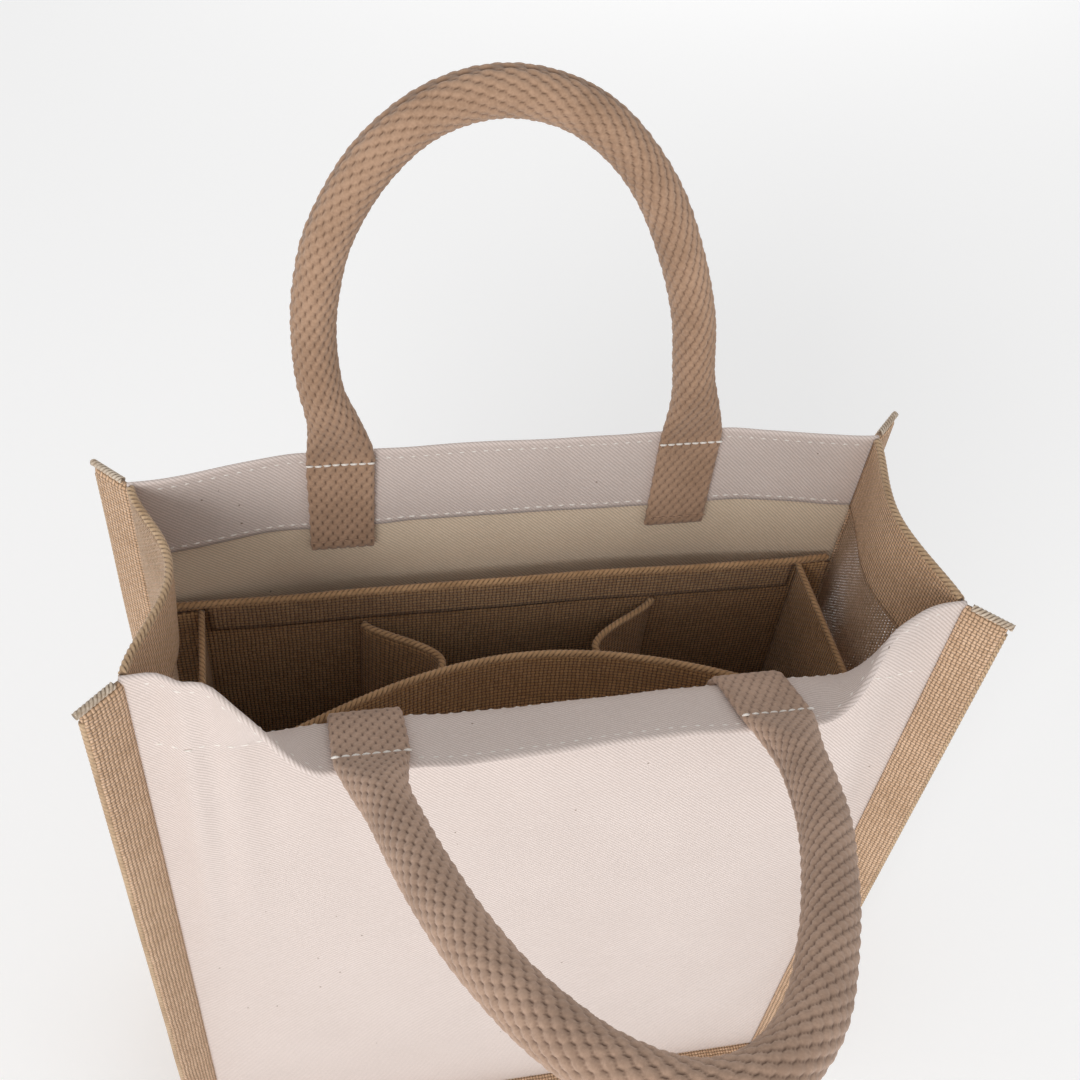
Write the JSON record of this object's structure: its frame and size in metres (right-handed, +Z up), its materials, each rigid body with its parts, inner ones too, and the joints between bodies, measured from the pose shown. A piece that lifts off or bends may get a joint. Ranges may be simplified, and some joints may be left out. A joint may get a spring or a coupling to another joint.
{
  "type": "wine gift bag",
  "caption": "Open cloth gift bag for wine: canvas front and back, jute gussets and base, padded webbing loop handles and a lift-out jute insert with dividers.",
  "frame": {"origin": "centre of the underside of the base", "axes": "+Z up along the bag's height, -Y to the front panel, +X to the right seen from the front"},
  "size_m": [0.304, 0.2841, 0.5151],
  "materials": {
    "canvas": "off-white cotton canvas",
    "canvas_facing": "warm off-white cotton canvas",
    "jute": "open-weave golden jute",
    "jute_hem": "two layers of jute",
    "binding": "folded jute tape",
    "webbing": "coarse knotted webbing",
    "rope_core": "cotton rope",
    "thread": "cotton sewing thread",
    "insert_jute": "brown jute",
    "insert_hem": "brown jute, folded"
  },
  "bodies": {
    "root": {"front_panel": "canvas", "back_panel": "canvas", "bottom_panel": "jute", "left_gusset": "jute", "right_gusset": "jute", "front_hem_facing": "canvas_facing", "back_hem_facing": "canvas_facing", "left_gusset_hem": "jute_hem", "right_gusset_hem": "jute_hem", "front_hem_thread": "thread", "back_hem_thread": "thread", "bottom_front_binding": "binding", "bottom_back_binding": "binding", "front_left_binding": "binding", "front_right_binding": "binding", "back_left_binding": "binding", "back_right_binding": "binding", "front_handle_left_end": "webbing", "front_handle_right_end": "webbing", "back_handle_left_end": "webbing", "back_handle_right_end": "webbing", "front_tack_threads": "thread", "back_tack_threads": "thread"},
    "front_handle": {"front_handle_webbing": "webbing", "front_handle_core": "rope_core"},
    "back_handle": {"back_handle_webbing": "webbing", "back_handle_core": "rope_core"},
    "insert": {"insert_front_wall": "insert_jute", "insert_back_wall": "insert_jute", "insert_left_wall": "insert_jute", "insert_right_wall": "insert_jute", "insert_left_divider": "insert_jute", "insert_right_divider": "insert_jute", "insert_front_hem": "insert_hem", "insert_back_hem": "insert_hem"}
  },
  "joints": [
    {"name": "front_handle_bend", "type": "hinge", "parent": "root", "child": "front_handle", "pos_m": [0, -0.08103, 0.35388], "axis": [1, 0, 0], "range_deg": [-73, 97]},
    {"name": "back_handle_bend", "type": "hinge", "parent": "root", "child": "back_handle", "pos_m": [0, 0.0449, 0.37111], "axis": [1, 0, 0], "range_deg": [-115, 0]},
    {"name": "insert_lift", "type": "slide", "parent": "root", "child": "insert", "axis": [0, 0, 1], "range_m": [0, 0.365]}
  ]
}
